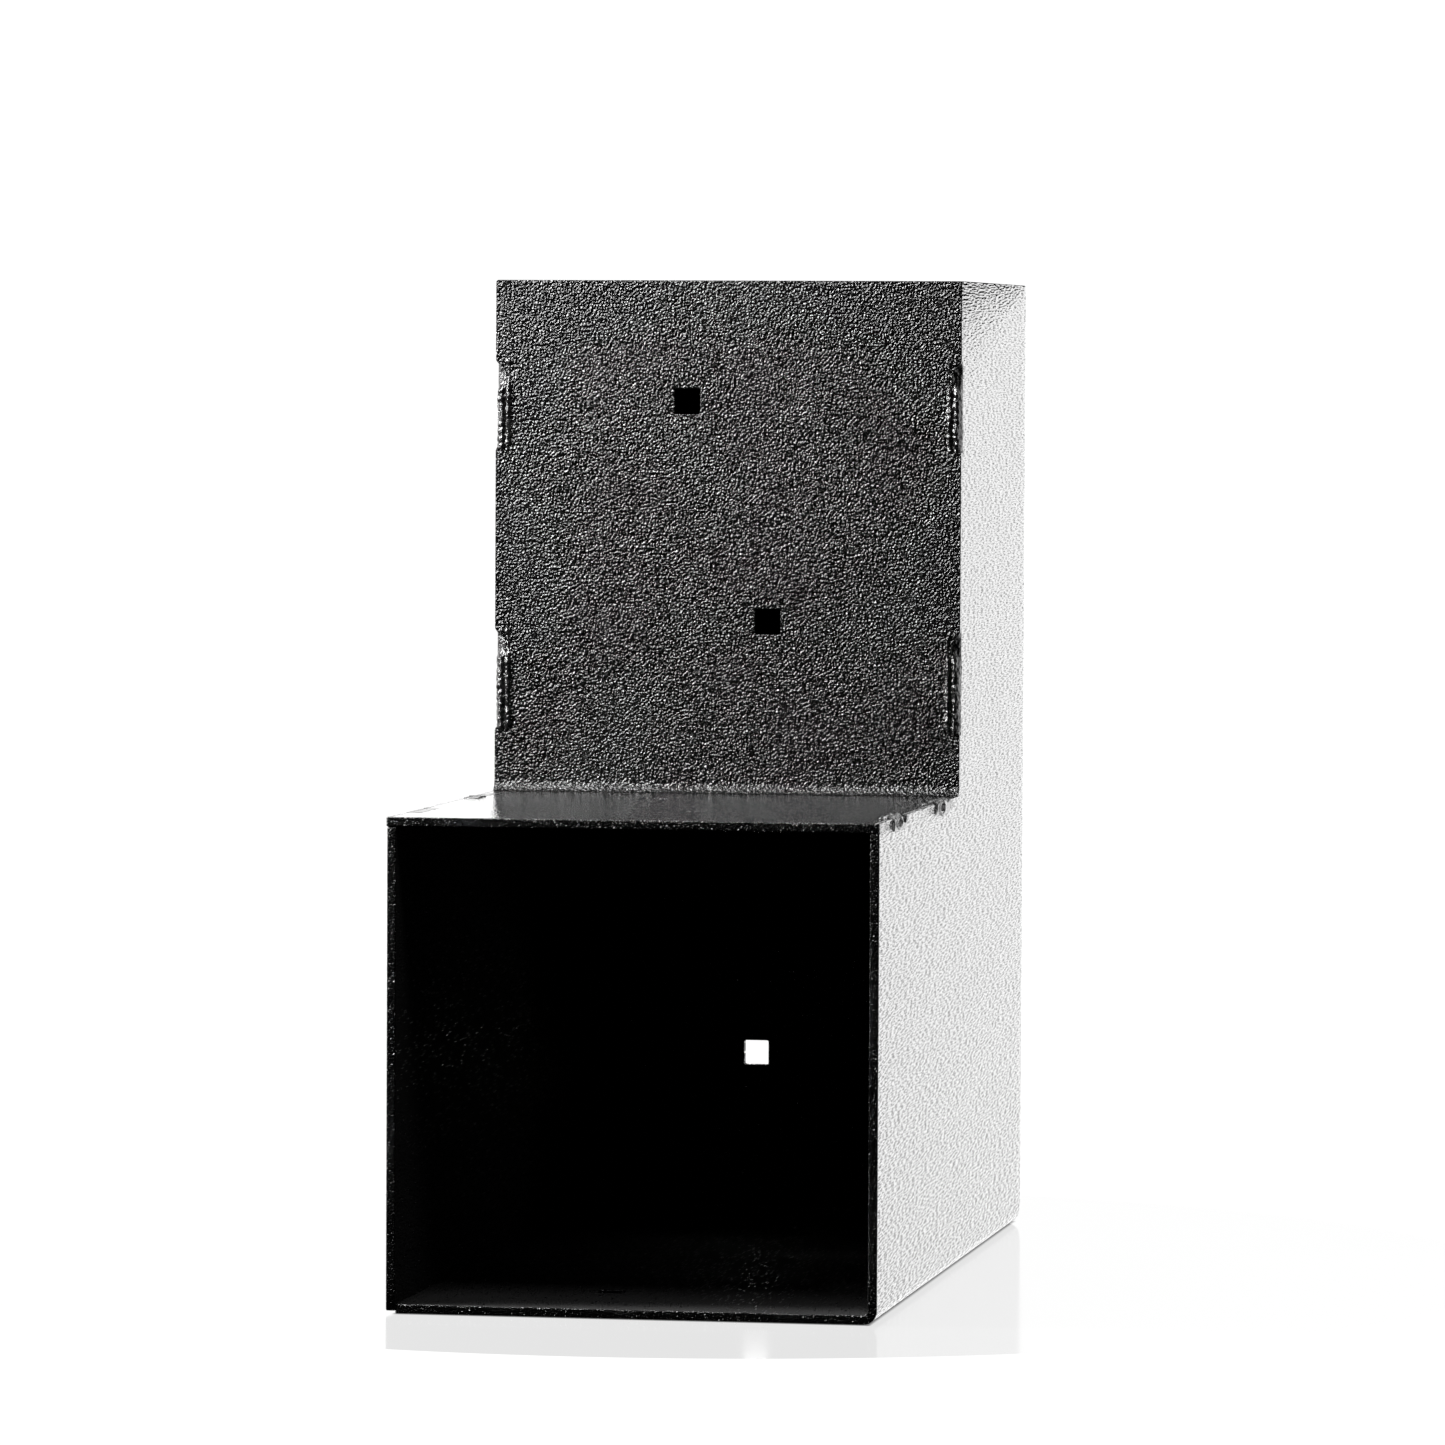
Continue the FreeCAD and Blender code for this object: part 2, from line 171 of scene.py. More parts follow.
def near_outline(point, outline, gap):
    """Whether the point lies closer to the outline than the gap."""
    for start, end in zip(outline, outline[1:] + outline[:1]):
        run = end - start
        along = max(0.0, min(1.0, (point - start).dot(run) / max(run.length_squared, 1e-9)))
        if (start + run * along - point).length < gap:
            return True
    return False


def fill(loops, cuts_a, cuts_b, folds):
    """Triangles of a face between its outer loop and its holes, on a grid that follows bends."""
    points, edges = [], []
    for loop in loops:
        first = len(points)
        points += loop
        edges += [(first + i, first + (i + 1) % len(loop)) for i in range(len(loop))]
    ring_count = len(points)
    for a in cuts_a:
        for b in cuts_b:
            spot = Vector((a, b))
            if (inside(spot, loops[0]) and not any(inside(spot, hole) for hole in loops[1:])
                    and not any(near_outline(spot, loop, MERGE) for loop in loops)):
                points.append(spot)
    for axis, lines, low, high in folds:
        for line in lines:
            row = sorted((p[1 - axis], i) for i, p in enumerate(points)
                         if abs(p[axis] - line) < 1e-4 and low < p[1 - axis] < high)
            edges += [(i, j) for (_, i), (_, j) in zip(row, row[1:])]
    out = delaunay_2d_cdt(points, edges, [], 1, 1e-6)
    places, triangles, origins = out[0], out[2], out[3]
    keep = []
    for triangle in triangles:
        middle = sum((places[i] for i in triangle), Vector((0.0, 0.0))) / 3
        if inside(middle, loops[0]) and not any(inside(middle, hole) for hole in loops[1:]):
            keep.append(triangle)
    index = [origin[0] if origin else None for origin in origins]
    return points, ring_count, [tuple(index[i] for i in triangle) for triangle in keep]


def make_sheet(name, outer, holes, fold, cuts_a, cuts_b, folds=(), crisp=None,
               grained=lambda a, b: False):
    """A cut, edge-rounded sheet: rings round every cut edge, then the two filled faces.

    A fold is (axis, lines, low, high): vertex rows at those lines, over that span across them.
    crisp(a, b, w) says where a seam lies, which the coat has bridged, so its edge stays sharp.
    grained(a, b) says where a cut edge has the faces' coat and not the smoother edge coat.
    """
    loops = [split_at(rounded(outer), cuts_a, cuts_b)] + [rounded(h) for h in holes]
    # (distance in from the cut line, depth into the sheet) of each ring round a cut edge
    depth_steps = [(EDGE_ROUND + SUPPORT, 0.0)]
    for step in range(EDGE_STEPS + 1):
        angle = math.pi / 2 * step / EDGE_STEPS
        depth_steps.append((EDGE_ROUND * (1 - math.sin(angle)),
                            EDGE_ROUND * (1 - math.cos(angle))))
    depth_steps.append((0.0, EDGE_ROUND + SUPPORT))
    depth_steps += [(d, SHEET - w) for d, w in reversed(depth_steps)]
    verts, faces, edge_faces = [], [], set()
    face_rings = {"outer": [], "inner": []}
    for loop in loops:
        rings = []
        for d, w in depth_steps:
            ring = inset(loop, d)
            rings.append(range(len(verts), len(verts) + len(ring)))
            for base, p in zip(loop, ring):
                near = min(w, SHEET - w)
                if (crisp and crisp(base.x, base.y, w) and near < EDGE_ROUND + SUPPORT
                        and d < EDGE_ROUND + SUPPORT):
                    verts.append(fold(base.x + (p.x - base.x) * SEAM_CRISP,
                                      base.y + (p.y - base.y) * SEAM_CRISP,
                                      w * SEAM_CRISP if w < SHEET / 2
                                      else SHEET - near * SEAM_CRISP))
                else:
                    verts.append(fold(p.x, p.y, w))
            if (d, w) == depth_steps[0]:
                face_rings["outer"].append((ring, rings[-1]))
            if (d, w) == depth_steps[-1]:
                face_rings["inner"].append((ring, rings[-1]))
        count = len(loop)
        for low, high in zip(rings, rings[1:]):
            for i in range(count):
                j = (i + 1) % count
                if not grained(*loop[i]):
                    edge_faces.add(len(faces))
                faces.append((low[i], low[j], high[j], high[i]))
    for side, w in (("outer", 0.0), ("inner", SHEET)):
        known = [index for _, ring in face_rings[side] for index in ring]
        points, ring_count, triangles = fill([loop for loop, _ in face_rings[side]],
                                             cuts_a, cuts_b, folds)
        known += range(len(verts), len(verts) + len(points) - ring_count)
        verts += [fold(p.x, p.y, w) for p in points[ring_count:]]
        faces += [tuple(known[i] for i in triangle) for triangle in triangles]
    return make_object(name, verts, faces, edge_faces)


def make_object(name, verts, faces, edge_faces=()):
    """Smooth-shaded object from millimetre vertices; edge_faces take the second material."""
    mesh = bpy.data.meshes.new(name)
    mesh.from_pydata([Vector(v) * MM for v in verts], [], faces)
    mesh.validate()
    for index, polygon in enumerate(mesh.polygons):
        polygon.use_smooth = True
        polygon.material_index = 1 if index in edge_faces else 0
    recalculate(mesh)
    piece = bpy.data.objects.new(name, mesh)
    bpy.context.scene.collection.objects.link(piece)
    return piece


def recalculate(mesh):
    """Turns every face outwards."""
    work = bmesh.new()
    work.from_mesh(mesh)
    bmesh.ops.recalc_face_normals(work, faces=work.faces)
    work.to_mesh(mesh)
    work.free()


# ---- the three sheets -----------------------------------------------------------------------

def square(a, b):
    """A square bolt hole, clockwise so that its inset goes into the steel."""
    half = HOLE_SIDE / 2
    return [(a - half, b - half, HOLE_CORNER), (a - half, b + half, HOLE_CORNER),
            (a + half, b + half, HOLE_CORNER), (a + half, b - half, HOLE_CORNER)]


def bend_lines(start, direction, run=BEND_RUN):
    """Places of a bend's vertex rows along the flat pattern."""
    return [start + direction * run * i / BEND_STEPS for i in range(BEND_STEPS + 1)]


def past_bend(run, depth):
    """How far in from the side's face, and how far on, a point past a bend's start comes."""
    radius = BEND_OUTER - depth
    if run < BEND_RUN:
        angle = run / BEND_RUN * math.pi / 2
        return BEND_OUTER - radius * math.cos(angle), radius * math.sin(angle)
    return BEND_OUTER + run - BEND_RUN, radius


def fold_shell(a, b, w):
    """Side in Y and Z; below the bend it is the bottom flange, behind it the back flange."""
    if a > BACK - BEND_OUTER and b > 0:
        inward, reach = past_bend(a - BACK + BEND_OUTER, w)
        return RIGHT - inward, BACK - BEND_OUTER + reach, b
    if b < BEND_OUTER:
        inward, drop = past_bend(BEND_OUTER - b, w)
        return RIGHT - inward, a, BEND_OUTER - drop
    return RIGHT - w, a, b


def side_seam(a, b, w):
    """The L-shaped inside edge of a side sheet, on which the step panel sits."""
    return b > SHELF_UNDER - 0.01 and a < WALL_BACK + 0.01


def make_right_shell():
    """Right side with its bottom and back flanges, and the relief where their bends meet."""
    flat = RIGHT - BEND_OUTER - INNER_LEFT
    low = BEND_OUTER - BEND_RUN - flat
    rear = BACK - BEND_OUTER + BEND_RUN + flat
    step = RELIEF - BEND_OUTER
    outer = [
        (FRONT, low, CORNER), (BACK - SEAM_GAP, low, CORNER),
        (BACK - SEAM_GAP, BEND_OUTER - BEND_RUN - step, 0.7),
        (BACK - RELIEF, BEND_OUTER - BEND_RUN - step, 0.5),
        (BACK - RELIEF, RELIEF, 0.8),
        (BACK - BEND_OUTER + BEND_RUN + step, RELIEF, 0.5),
        (BACK - BEND_OUTER + BEND_RUN + step, SEAM_GAP, 0.7),
        (rear, SEAM_GAP, CORNER), (rear, TOP, CORNER), (WALL_BACK, TOP, CORNER),
        (WALL_BACK, SHELF_UNDER, STEP_OUTER), (FRONT, SHELF_UNDER, CORNER),
    ]
    holes = []
    for mount in ("bottom_bolt_near", "bottom_bolt_far"):
        x, y, _ = MOUNTS[mount]
        holes.append(square(y, BEND_OUTER - BEND_RUN - (RIGHT - BEND_OUTER - x)))
    for mount in ("back_bolt_lower", "back_bolt_upper"):
        x, _, z = MOUNTS[mount]
        holes.append(square(BACK - BEND_OUTER + BEND_RUN + (RIGHT - BEND_OUTER - x), z))
    under = bend_lines(BEND_OUTER, -1)
    behind = bend_lines(BACK - BEND_OUTER, 1)
    cuts_a = spread(FRONT, behind[0]) + behind + spread(behind[-1], rear)
    cuts_b = spread(low, under[-1]) + under[::-1] + spread(under[0], TOP)
    folds = ((0, behind, RELIEF, TOP), (1, under, FRONT, BACK - RELIEF))
    piece = make_sheet("right_shell_coated", outer, holes, fold_shell, cuts_a, cuts_b, folds,
                       side_seam)
    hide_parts("right_side_shell")
    return piece


def make_left_panel():
    """Flat left side; the two flanges end at its inner face."""
    low, rear = LEFT_LOW.z, LEFT_HIGH.y
    outer = [
        (FRONT, low, CORNER), (rear, low, CORNER), (rear, TOP, CORNER),
        (WALL_BACK, TOP, CORNER), (WALL_BACK, SHELF_UNDER, STEP_OUTER),
        (FRONT, SHELF_UNDER, CORNER),
    ]
    piece = make_sheet("left_panel_coated", outer, [], lambda a, b, w: (LEFT + w, a, b),
                       spread(FRONT, rear), spread(low, TOP), crisp=side_seam)
    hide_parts("left_side_panel")
    return piece


def fold_step(a, b, w):
    """Shelf first, then the bend, then the column wall; w goes down into the sheet."""
    flat = WALL_FRONT - STEP_INNER - FRONT
    radius = STEP_INNER + w
    if b <= flat:
        return a, FRONT + b, SHELF_TOP - w
    if b < flat + STEP_RUN:
        angle = (b - flat) / STEP_RUN * math.pi / 2
        return (a, WALL_FRONT - STEP_INNER + radius * math.sin(angle),
                SHELF_TOP + STEP_INNER - radius * math.cos(angle))
    return a, WALL_FRONT + w, SHELF_TOP + STEP_INNER + b - flat - STEP_RUN


def step_length(y=None, z=None):
    """Place along the step panel's flat pattern of a shelf Y or of a wall Z."""
    if y is not None:
        return y - FRONT
    return WALL_FRONT - STEP_INNER - FRONT + STEP_RUN + z - SHELF_TOP - STEP_INNER


def melted_edge(side):
    """Points along one side edge of the step panel, front to top, eaten back at its welds."""
    edge = RIGHT if side == "right" else STEP_LOW.x
    inward = -1 if side == "right" else 1
    stretches = []
    for stitch in ("front", "rear"):
        low, high = millimetres(f"shelf_weld_{side}_{stitch}")
        stretches.append((step_length(y=low.y), step_length(y=high.y)))
    for stitch in ("lower", "upper"):
        low, high = millimetres(f"wall_weld_{side}_{stitch}")
        stretches.append((step_length(z=low.z), step_length(z=high.z)))
    points = []
    depth = MELT_DEPTH if side == "right" else MELT_DEPTH_LEFT
    flank = [i / 8 for i in range(9)]
    for low, high in stretches:
        low, high = low + MELT_INSET, high - MELT_INSET
        eaten = [depth * (3 * t * t - 2 * t * t * t) for t in flank]
        points += [(edge + inward * e, low + MELT_FLANK * t) for t, e in zip(flank, eaten)]
        points += [(edge + inward * e, high - MELT_FLANK * t)
                   for t, e in reversed(list(zip(flank, eaten)))]
    return points


def make_step_panel():
    """Shelf and column wall, one sheet with one bend."""
    length = step_length(z=TOP)
    left, right = STEP_LOW.x, RIGHT
    melted = RIGHT - MELT_DEPTH - 1
    outer = [(left, 0.0, CORNER), (right, 0.0, CORNER)]
    outer += melted_edge("right")
    outer += [(right, length, CORNER), (left, length, CORNER)]
    outer += melted_edge("left")[::-1]
    holes = []
    for mount in ("shelf_bolt_rear", "shelf_bolt_front"):
        x, y, _ = MOUNTS[mount]
        holes.append(square(x, step_length(y=y)))
    for mount in ("wall_bolt_upper", "wall_bolt_lower"):
        x, _, z = MOUNTS[mount]
        holes.append(square(x, step_length(z=z)))
    folds = bend_lines(step_length(y=WALL_FRONT - STEP_INNER), 1, STEP_RUN)
    cuts_b = spread(0.0, folds[0]) + folds + spread(folds[-1], length)
    piece = make_sheet("step_panel_coated", outer, holes, fold_step,
                       spread(left, right), cuts_b, ((1, folds, left, right),),
                       lambda a, b, w: abs(a) > melted and w > SHEET / 2,
                       lambda a, b: abs(a) > melted and 1 < b < length - 1)
    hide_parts("step_panel")
    return piece


# ---- weld beads -----------------------------------------------------------------------------
# A section is drawn in (u, v): u out through the side face, v out through the front or top
# face, both zero at the box's corner.

BEAD_SECTION = [(-0.9, -4.3), (-0.25, -3.9), (0.02, -3.3), (0.05, -2.4), (0.02, -1.4),
                (-0.35, -0.3), (-1.0, 0.45), (-1.8, 0.85), (-2.5, 0.35), (-3.0, 0.15),
                (-3.5, 0.6), (-4.2, 0.75), (-4.9, 0.1), (-5.4, -0.8), (-4.2, -1.8),
                (-2.9, -2.3), (-2.1, -3.0), (-1.6, -3.8)]
SCOOP_SECTION = [(-0.9, -4.3), (-0.25, -3.9), (0.02, -3.3), (-0.1, -2.7), (-0.7, -2.1),
                 (-1.3, -1.7), (-1.8, -1.3), (-2.4, -0.85), (-3.0, -0.45), (-3.6, -0.1),
                 (-4.1, 0.12), (-4.6, 0.05), (-5.0, -0.3), (-5.3, -0.9), (-4.2, -1.8),
                 (-2.9, -2.5), (-2.1, -3.1), (-1.6, -3.8)]
LEFT_SHIFT = 0.5       # a left bead lies this much further in
LEFT_SECTION = [(u - LEFT_SHIFT, v) for u, v in BEAD_SECTION]
LEFT_SCOOP = [(u - LEFT_SHIFT, v) for u, v in SCOOP_SECTION]
PROUD = 0.39           # most that a right bead stands over the side face
FLUSH = 0.02           # a bead's flat part stands this much over a right face, or under a left one
FLAT_TOP = 0.03        # level of a left shelf bead over the shelf between its lumps
# marks that the shelf beads leave on the side face: place along the bead, depth below the
# edge, half length, half height, groove depth; a mark's rim stands proud by MARK_RIM
SIDE_MARKS = {
    "shelf_weld_right_front": [(3.0, -2.0, 1.6, 1.7, 0.6), (16.0, -1.9, 5.0, 1.6, 0.7),
                               (28.0, -0.6, 1.6, 0.6, 0.4)],
    "shelf_weld_right_rear": [(3.5, -1.6, 1.8, 1.4, 0.6), (18.0, -2.0, 5.5, 1.8, 0.9)],
}
MARK_RIM = 0.36
# lumps on a left shelf bead: place along the bead, half length, height
TOP_LUMPS = {"shelf_weld_left_rear": [(5.0, 5.0, 0.3), (12.5, 1.5, 0.35)]}
RIPPLE_PITCH = 2.3
RIPPLE_HEIGHT = 0.22
SECTION_POINTS = 64
STATION_STEP = 0.3


def closed_curve(points, count):
    """Evenly numbered points on a Catmull-Rom loop through the section's points."""
    total = len(points)
    result = []
    for step in range(count):
        place = step * total / count
        i = int(place)
        t = place - i
        p0, p1, p2, p3 = (Vector(points[(i + k) % total]) for k in (-1, 0, 1, 2))
        result.append(0.5 * (2 * p1 + (p2 - p0) * t + (2 * p0 - 5 * p1 + 4 * p2 - p3) * t * t
                             + (3 * p1 - p0 - 3 * p2 + p3) * t * t * t))
    return result


def smooth(low, high, value):
    """Smooth step from 0 at low to 1 at high, either way round."""
    t = max(0.0, min(1.0, (value - low) / (high - low)))
    return t * t * (3 - 2 * t)


def loft(name, stations):
    """Closed skin over a list of rings, with a point at each end."""
    verts, faces = [], []
    for ring in stations:
        verts += ring
    count = len(stations[0])
    for row in range(len(stations) - 1):
        for i in range(count):
            j = (i + 1) % count
            faces.append((row * count + i, row * count + j,
                          (row + 1) * count + j, (row + 1) * count + i))
    for ring, base in ((stations[0], 0), (stations[-1], (len(stations) - 1) * count)):
        verts.append(sum((Vector(v) for v in ring), Vector()) / count)
        tip = len(verts) - 1
        faces += [(base + i, base + (i + 1) % count, tip) for i in range(count)]
    return make_object(name, verts, faces)


def bead_skin(length, seed, section, scoop, scoop_span, reach=0.35):
    """Section points (u, v) station by station: scooped crater, ripples, lumps, round ends."""
    centre = sum((Vector(p) for p in section), Vector((0.0, 0.0))) / len(section)
    full = closed_curve(section, SECTION_POINTS)
    hollow = closed_curve(scoop, SECTION_POINTS)
    count = round(length / STATION_STEP)
    rows = []
    for k in range(count + 1):
        # stations crowd towards the two round ends
        s = length * (0.5 - 0.5 * math.cos(math.pi * k / count))
        dip = (smooth(scoop_span[0], scoop_span[0] + 4.0, s)
               * (1 - smooth(scoop_span[1] - 2.0, scoop_span[1], s)))
        along = abs(2 * s / length - 1)
        end = max(0.02, (1 - along ** 14)) ** 0.5
        swell = 1 + 0.10 * noise.noise(Vector((s / 7.0, seed, 3.1)))
        ring = []
        for i in range(SECTION_POINTS):
            point = full[i].lerp(hollow[i], dip)
            out = point - centre
            reach_v = 1 + reach * max(0.0, noise.noise(Vector((s / 4.5, seed + 9.0, 0.3))))
            spot = centre + Vector((out.x, out.y * (reach_v if out.y < 0 else 1))) * end * swell
            chevron = math.atan2(out.y, out.x)
            wave = (s / RIPPLE_PITCH + 0.42 * math.cos(chevron - math.pi / 4)
                    + 0.5 * noise.noise(Vector((s / 9.0, seed, 7.7))))
            ripple = RIPPLE_HEIGHT * (abs(math.sin(math.pi * wave)) - 0.65) * (1 - 0.85 * dip)
            lump = ((0.42 * noise.noise(Vector((s / 5.0, i / 7.0, seed)))
                     + 0.22 * noise.noise(Vector((s / 1.1, i / 3.5, seed + 5.0))))
                    * (1 - 0.8 * dip))
            ring.append(spot + out.normalized() * (ripple + lump) * end)
        rows.append((s, ring))
    return rows


def side_mark(node, s, v):
    """Height over the side face of the drips and craters that a shelf bead leaves there."""
    total = 0.0
    for place, level, long, tall, depth in SIDE_MARKS.get(node, ()):
        d = math.hypot((s - place) / long, (v - level) / tall)
        d += 0.2 * noise.noise(Vector((s / 3.0, v / 1.5, place)))
        total += MARK_RIM * smooth(1.3, 1.15, d) - (MARK_RIM + depth) * smooth(1.0, 0.8, d)
    return total


def make_corner_bead(node, side, seam, seed, scoop_span):
    """Stitch bead on one side edge of the column wall or of the shelf."""
    low, high = millimetres(node)
    upright = seam == "wall"
    start, length = (low.z, high.z - low.z) if upright else (low.y, high.y - low.y)
    corner_x = RIGHT if side == "right" else STEP_LOW.x
    outward = 1 if side == "right" else -1
    section = BEAD_SECTION if side == "right" else LEFT_SECTION
    scoop = SCOOP_SECTION if side == "right" else LEFT_SCOOP
    stations = []
    for s, ring in bead_skin(length, seed, section, scoop, scoop_span):
        row = []
        for u, v in ring:
            if seam == "wall":
                u = min(u, PROUD if side == "right" else -FLUSH)
            elif side == "right":
                if u > -0.45:
                    u = min(PROUD, FLUSH + side_mark(node, s, v))
            else:
                u = min(u, -FLUSH)
                lift = sum(tall * smooth(1.0, 0.4, abs(s - place) / long)
                           for place, long, tall in TOP_LUMPS.get(node, ()))
                if v > -0.9:
                    v = FLAT_TOP + lift
            x = corner_x + outward * u
            if upright:
                row.append((x, WALL_FRONT - v, start + s))
            else:
                row.append((x, start + s, SHELF_TOP + v))
        stations.append(row)
    piece = loft(node + "_bead", stations)
    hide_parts(node)
    return piece


# here u runs out through the left face and v in from the bottom or back face
SEAM_SECTION = [(-2.2, 0.02), (-1.0, 0.02), (0.0, 0.25), (0.02, 1.0), (-0.02, 1.9), (0.0, 2.7),
                (-0.3, 3.3), (-1.2, 3.0), (-2.4, 2.2), (-3.0, 1.2)]
SEAM_BREAK = 15.0      # a gap longer than this along a seam parts two beads


def seam_islands(node):
    """Start and end of each separate bead in a CAD node, along its seam."""
    axis = 1 if node == "bottom_seam_welds" else 2
    values = sorted(v.co[axis] / MM for v in frame["nodes"][node].data.vertices)
    islands = [[values[0], values[0]]]
    for value in values:
        if value - islands[-1][1] > SEAM_BREAK:
            islands.append([value, value])
        islands[-1][1] = value
    return islands


def make_seam_bead(node, number, low, high, seed):
    """Bead in the notch between the left panel and a flange, dressed flush on both faces."""
    length = high - low
    skin = bead_skin(length, seed, SEAM_SECTION, SEAM_SECTION, (-9.0, -8.0), reach=0.0)
    stations = []
    for s, ring in skin:
        row = []
        for u, v in ring:
            x = LEFT + max(0.0, 0.05 - u)
            v = max(0.0, v)
            row.append((x, low + s, v) if node == "bottom_seam_welds"
                       else (x, BACK - v, low + s))
        stations.append(row)
    return loft(f"{node}_bead_{number}", stations)


CORNER_STATION = 0.7
CORNER_PITCH = 2.6     # of the ripples along the rear corner bead
CORNER_RIPPLE = 0.16
CORNER_LUMP = 0.12
CORNER_ROOT = 0.4      # how far its root reaches into the seam
CORNER_STEPS = 16


def make_rear_corner_bead():
    """Long rippled bead along the bottom rear edge, between the two flanges."""
    low, high = millimetres("rear_corner_weld")
    reach = high.z
    stations = []
    length = high.x - low.x
    count = round(length / CORNER_STATION)
    for k in range(count + 1):
        s = length * k / count
        end = max(0.02, 1 - abs(2 * s / length - 1) ** 60) ** 0.5
        row = []
        for i in range(CORNER_STEPS + 1):
            angle = math.pi / 2 * i / CORNER_STEPS
            wave = s / CORNER_PITCH + 0.3 * math.sin(2 * angle)
            fall = CORNER_RIPPLE * (1 - abs(math.sin(math.pi * wave))) * math.sin(2 * angle)
            fall += (CORNER_LUMP * (0.5 + noise.noise(Vector((s / 3.0, i / 4.0, 41.0))))
                     * math.sin(2 * angle))
            radius = (reach - fall) * end
            row.append((low.x + s, low.y + radius * math.cos(angle),
                        high.z - radius * math.sin(angle)))
        row += [(low.x + s, low.y - CORNER_ROOT, high.z - reach * end * 0.3),
                (low.x + s, low.y - CORNER_ROOT, high.z + CORNER_ROOT),
                (low.x + s, low.y + reach * end * 0.3, high.z + CORNER_ROOT)]
        stations.append(row)
    piece = loft("rear_corner_weld_bead", stations)
    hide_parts("rear_corner_weld")
    return piece


# ---- materials ------------------------------------------------------------------------------

class Nodes:
    """Small helper round a material's node tree."""

    def __init__(self, name):
        self.material = bpy.data.materials.new(name)
        self.material.use_nodes = True
        self.tree = self.material.node_tree
        self.tree.nodes.clear()

    def add(self, kind, inputs=None, **settings):
        node = self.tree.nodes.new("ShaderNode" + kind)
        for key, value in settings.items():
            setattr(node, key, value)
        for key, value in (inputs or {}).items():
            if isinstance(value, bpy.types.NodeSocket):
                self.tree.links.new(value, node.inputs[key])
            else:
                node.inputs[key].default_value = value
        return node

    def math(self, operation, a, b=0.0):
        return self.add("Math", {0: a, 1: b}, operation=operation).outputs[0]

    def remap(self, value, low, high, to_low, to_high):
        return self.add("MapRange", {"Value": value, "From Min": low, "From Max": high,
                                     "To Min": to_low, "To Max": to_high}).outputs[0]

    def finish(self, shader):
        self.add("OutputMaterial", {"Surface": shader.outputs[0]})
        return self.material


SHEET_GRAIN = 0.0010       # depth of the leather grain on the faces
EDGE_GRAIN = 0.00055       # and on the cut edges, where the powder has drawn smoother
SHEET_FOLDS = 1260.0       # folds per metre on the faces
EDGE_FOLDS = 1700.0        # and on the cut edges
COAT_ROUGHNESS = 0.25
POOLED = 0.8               # share of the grain's depth left in the inside bend
TOPS_SHARE = 0.65          # depth of what is left of the grain edge-on, as a share of the whole
TURNING = (0.68, 0.82)     # facing over which the view changes from the folds to their tops
TOPS_TURNING = (0.70, 0.82)
EDGE_ON_GLOSS = 0.35       # share of the roughness left edge-on
LEVELLED = 0.13            # share of the tops left edge-on where the coat has levelled
LEVELLED_INSIDE = 0.025    # and inside the lower leg
HOLLOWS_DULL = 10.0        # how much rougher the grain's hollows are inside the lower leg


def leather_grain(nodes, place, folds_per_metre):
    """Height of the wrinkled coat: rounded folds with a little finer wrinkle on them."""
    return nodes.add("TexNoise", {"Vector": place, "Scale": folds_per_metre, "Detail": 1.0,
                                  "Roughness": 0.3, "Distortion": 0.2}).outputs["Fac"]


def outer_side(nodes, place):
    """1 on the two outer side faces and 0 on the faces between them, where the coat levelled."""
    x = nodes.add("SeparateXYZ", {0: place}).outputs["X"]
    return nodes.remap(nodes.math("ABSOLUTE", x), (RIGHT - 2) * MM, (RIGHT - 1) * MM, 0.0, 1.0)


def grain_tops(nodes, place, drawn):
    """The grain edge-on: its hollows, and the height of its tops, which join into long runs.

    drawn is 1 where the hollows are at their longest.
    """
    stretch = nodes.add("CombineXYZ", {"X": 1.0, "Y": nodes.remap(drawn, 0.0, 1.0, 0.35, 0.11),
                                       "Z": 1.0}).outputs[0]
    stretched = nodes.add("VectorMath", {0: place, 1: stretch}, operation="MULTIPLY").outputs[0]
    cells = nodes.add("TexVoronoi", {"Vector": stretched, "Scale": 1000.0, "Randomness": 1.0},
                      feature="F1").outputs["Distance"]
    hollow = nodes.remap(cells, 0.05, 0.40, 0.0, 1.0)
    fine = nodes.add("TexNoise", {"Vector": stretched, "Scale": 1400.0,
                                  "Detail": 0.5}).outputs["Fac"]
    height = nodes.math("ADD", nodes.math("MULTIPLY", hollow, 0.5),
                        nodes.math("MULTIPLY", fine, 2.0))
    return hollow, height


def pooling(nodes, place):
    """Share of the grain's depth that is left where the powder pools in the inside bend."""
    axis = (0.0, (WALL_FRONT - STEP_INNER) * MM, (SHELF_TOP + STEP_INNER) * MM)
    away = nodes.add("VectorMath", {0: place, 1: axis}, operation="SUBTRACT").outputs[0]
    flat = nodes.add("VectorMath", {0: away, 1: (0.0, 1.0, 1.0)}, operation="MULTIPLY").outputs[0]
    radius = nodes.add("VectorMath", {0: flat}, operation="LENGTH").outputs["Value"]
    return nodes.remap(radius, (STEP_INNER + 0.02) * MM, (STEP_INNER + 0.2) * MM, POOLED, 1.0)


